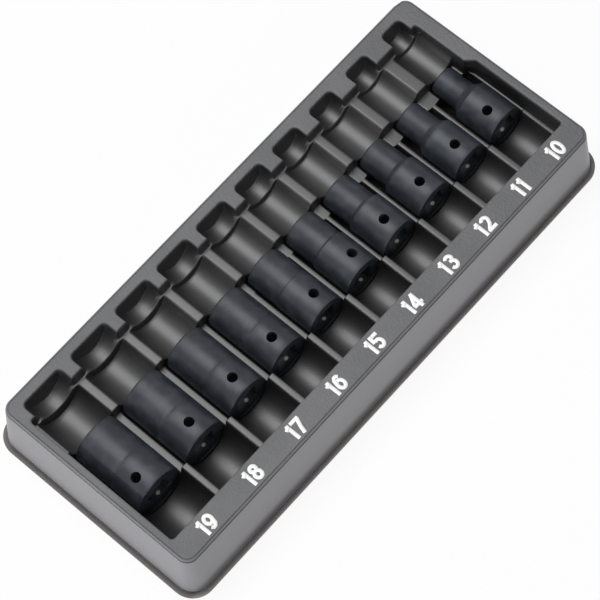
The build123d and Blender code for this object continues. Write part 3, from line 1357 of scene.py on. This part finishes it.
@dataclass
class Numbers:
    """The size printed on the strip before each socket, drawn with a broad pen."""

    row: Row
    height: float = 9.8
    stroke: float = 2.1
    baseline: float = -62.6
    digit_width: float = 6.0
    digit_gap: float = 0.75
    narrow: float = 0.62
    layer: float = 0.01

    @staticmethod
    def _arc(
        x: float, y: float, wide: float, tall: float, start: float, end: float, steps: int = 14
    ) -> Points:
        """Return points of an oval arc between two angles in degrees."""
        angles = [math.radians(start + (end - start) * step / steps) for step in range(steps + 1)]
        return [(x + wide * math.cos(angle), y + tall * math.sin(angle)) for angle in angles]

    def digit(self, figure: str) -> list[Points]:
        """Return the pen's strokes for a digit, drawn along the middle of each stroke.

        Args:
            figure: The digit.

        Returns:
            Strokes as lists of points, in millimetres from the digit's lower left.
        """
        pen = self.stroke / 2
        low, high = pen, self.height - pen
        left, right = pen, self.digit_width - pen
        middle = (left + right) / 2
        wide = (right - left) / 2
        tall = (high - low) / 2
        waist = self.height * 0.55
        small = (high - waist) / 2
        large = (waist - low) / 2
        bar = self.digit_width * self.narrow - pen
        hook = self._arc(middle, low + tall * 0.66, wide, tall * 0.66, 0, 360, 26)
        tail = [(right - 0.2, high - 1.2), (middle + 0.9, high - 0.1), (middle - 0.3, high - 0.2)]
        tail += [(left + 0.55, high - 1.5), (left + 0.02, low + tall * 0.75)]
        strokes = {
            "0": [self._arc(middle, low + tall, wide, tall, 0, 360, 30)],
            "1": [
                [(bar, 0.0), (bar, self.height)],
                [(bar + 0.3, self.height - 1.25), (bar - 2.0, self.height - 2.5)],
            ],
            "2": [
                self._arc(middle, high - wide * 0.98, wide, wide * 0.98, 165, -35)
                + [(middle + 0.75, low + 2.9), (left + 0.5, low + 1.0), (left + 0.15, low - 0.4)],
                [(0.0, low), (self.digit_width, low)],
            ],
            "3": [
                self._arc(middle, high - small, wide * 0.93, small, 160, -88, 16),
                self._arc(middle, low + large, wide, large, 88, -162, 18),
                [(middle - 0.9, waist), (middle + 0.4, waist)],
            ],
            "4": [
                [(right - 0.6, self.height - 0.4), (left - 0.4, low + 1.9)],
                [(0.0, low + 1.5), (self.digit_width + 0.1, low + 1.5)],
                [(right - 0.9, 0.0), (right - 0.9, self.height)],
            ],
            "5": [
                [(left + 0.2, high), (self.digit_width - 0.2, high)],
                [(left + 0.35, self.height), (left - 0.05, waist - 0.3)],
                self._arc(middle, low + large + 0.2, wide, large + 0.2, 138, -158, 20),
            ],
            "6": [hook, tail],
            "7": [
                [(0.0, high), (self.digit_width, high)],
                [(right + 0.35, high + 0.2), (middle + 0.35, low + 3.2), (middle - 0.8, 0.0)],
            ],
            "8": [
                self._arc(middle, high - small, wide * 0.88, small, 0, 360, 24),
                self._arc(middle, low + large, wide, large, 0, 360, 26),
            ],
        }
        strokes["9"] = [
            [(self.digit_width - x, self.height - y) for x, y in stroke] for stroke in strokes["6"]
        ]
        return strokes[figure]

    def build(self, finish: bpy.types.Material) -> None:
        """Draw every number and sweep the strokes.

        Args:
            finish: The ink.
        """
        curve = bpy.data.curves.new("number_strokes", "CURVE")
        curve.dimensions = "3D"
        for size, centre in zip(self.row.sizes, self.row.centres):
            shares = [self.narrow if figure == "1" else 1.0 for figure in str(size)]
            widths = [self.digit_width * share for share in shares]
            x = centre - (sum(widths) + self.digit_gap) / 2
            for figure, width in zip(str(size), widths):
                for layer, stroke in enumerate(self.digit(figure)):
                    line = curve.splines.new("POLY")
                    line.points.add(len(stroke) - 1)
                    for point, (across, up) in zip(line.points, stroke):
                        place = (x + across, self.baseline + up, layer * self.layer)
                        point.co = (*(value * MM for value in place), 1.0)
                x += width + self.digit_gap
        sizes = {"Stroke Width": self.stroke * MM}
        numbers = NumberRecipe(finish).make("printed_numbers", curve, sizes)
        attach(numbers, "tray")
        LOG.info("numbers: %d faces", len(numbers.data.polygons))


# --- Studio ---


class SeenBy(Enum):
    """The rays by which a background is seen."""

    CAMERA = "Is Camera Ray"
    GLOSS = "Is Glossy Ray"
    GLASS = "Is Transmission Ray"


@dataclass(frozen=True)
class Softbox:
    """A soft lamp: where it hangs, its size and its power."""

    name: str
    place: Place
    size: Pair
    power: float

    def hang(self, target: Place) -> None:
        """Put the lamp into the scene.

        Args:
            target: What it faces.
        """
        data = bpy.data.lights.new(self.name, "AREA")
        data.shape = "RECTANGLE"
        data.size, data.size_y = self.size
        data.energy = self.power
        lamp = bpy.data.objects.new(self.name, data)
        lamp.location = self.place
        way = Vector(target) - Vector(self.place)
        lamp.rotation_euler = way.to_track_quat("-Z", "Y").to_euler()
        bpy.context.scene.collection.objects.link(lamp)


@dataclass
class Studio:
    """The pale floor, the soft lamps and the camera of the photograph's view."""

    eye: Place = (-0.41173, -0.44415, 1.33933)
    turn: Place = (24.1791, 2.6912, -48.5897)
    lens: float = 164.7
    floor_size: float = 12.0
    card: Colour = (0.82, 0.82, 0.82, 1.0)
    floor_white: float = 0.9
    sky: Colour = (0.95, 0.97, 1.0, 1.0)
    level: float = 0.14
    target: Place = (0.0, 0.0, 0.02)
    softboxes: tuple[Softbox, ...] = (
        Softbox("softbox_left", (-1.7, -0.1, 0.24), (1.6, 0.3), 16.0),
        Softbox("softbox_front", (-0.2, -1.35, 0.75), (1.4, 0.4), 5.0),
        Softbox("softbox_top", (-0.06, 0.44, 1.42), (1.1, 0.75), 21.0),
    )

    def camera(self) -> None:
        """Place the camera at the photograph's viewing angle."""
        data = bpy.data.cameras.new("view_camera")
        data.lens = self.lens
        data.sensor_width = 36.0
        data.clip_end = 50.0
        camera = bpy.data.objects.new("view_camera", data)
        camera.location = self.eye
        camera.rotation_euler = Euler([math.radians(angle) for angle in self.turn])
        bpy.context.scene.collection.objects.link(camera)
        bpy.context.scene.camera = camera

    @staticmethod
    def _seen(tree: Tree) -> Wire:
        """Tell the rays by which the background is seen from the rest.

        Args:
            tree: The tree of the background.

        Returns:
            1 for rays by which the background is seen, otherwise 0.
        """
        camera, gloss, glass = (
            tree.node("ShaderNodeLightPath", None, None, kind.value) for kind in SeenBy
        )
        return camera.maximum(gloss).maximum(glass)

    def floor(self) -> None:
        """Lay the white floor, which keeps a soft shadow."""
        half = self.floor_size / 2
        corners = [(-half, -half, 0.0), (half, -half, 0.0), (half, half, 0.0), (-half, half, 0.0)]
        mesh = bpy.data.meshes.new("floor")
        mesh.from_pydata(corners, [], [(0, 1, 2, 3)])
        floor = place_mesh("floor", mesh)
        material = bpy.data.materials.new("floor_white")
        material.use_nodes = True
        tree = Tree(material.node_tree)
        card = tree.node("ShaderNodeBsdfDiffuse", None, {"Color": self.card})
        white = tree.node("ShaderNodeEmission", None, {"Color": WHITE, "Strength": 1.0})
        share = self._seen(tree) * self.floor_white
        shader = tree.node("ShaderNodeMixShader", None, {0: share, 1: card, 2: white})
        tree.node("ShaderNodeOutputMaterial", None, {"Surface": shader})
        mesh.materials.append(material)

    def world(self) -> None:
        """Give the world a plain level, and white where it is seen."""
        world = bpy.data.worlds.new("studio")
        world.use_nodes = True
        bpy.context.scene.world = world
        tree = Tree(world.node_tree)
        plain = {"Color": self.sky, "Strength": self.level}
        level = tree.node("ShaderNodeBackground", None, plain)
        white = tree.node("ShaderNodeBackground", None, {"Color": WHITE, "Strength": 1.0})
        shader = tree.node("ShaderNodeMixShader", None, {0: self._seen(tree), 1: level, 2: white})
        tree.node("ShaderNodeOutputWorld", None, {"Surface": shader})

    def build(self) -> None:
        """Set up the whole studio."""
        bpy.context.scene.view_settings.view_transform = "Standard"
        self.camera()
        self.floor()
        self.world()
        for softbox in self.softboxes:
            softbox.hang(self.target)


def main() -> None:
    """Build every class in order."""
    logging.basicConfig(level=logging.INFO)
    row = Row()
    Studio().build()
    Tray(row).build(TrayPlastic().make())
    SocketSet(row).build(PhosphateSteel().make())
    Numbers(row).build(WhitePrint().make())


if __name__ == "__main__":
    main()
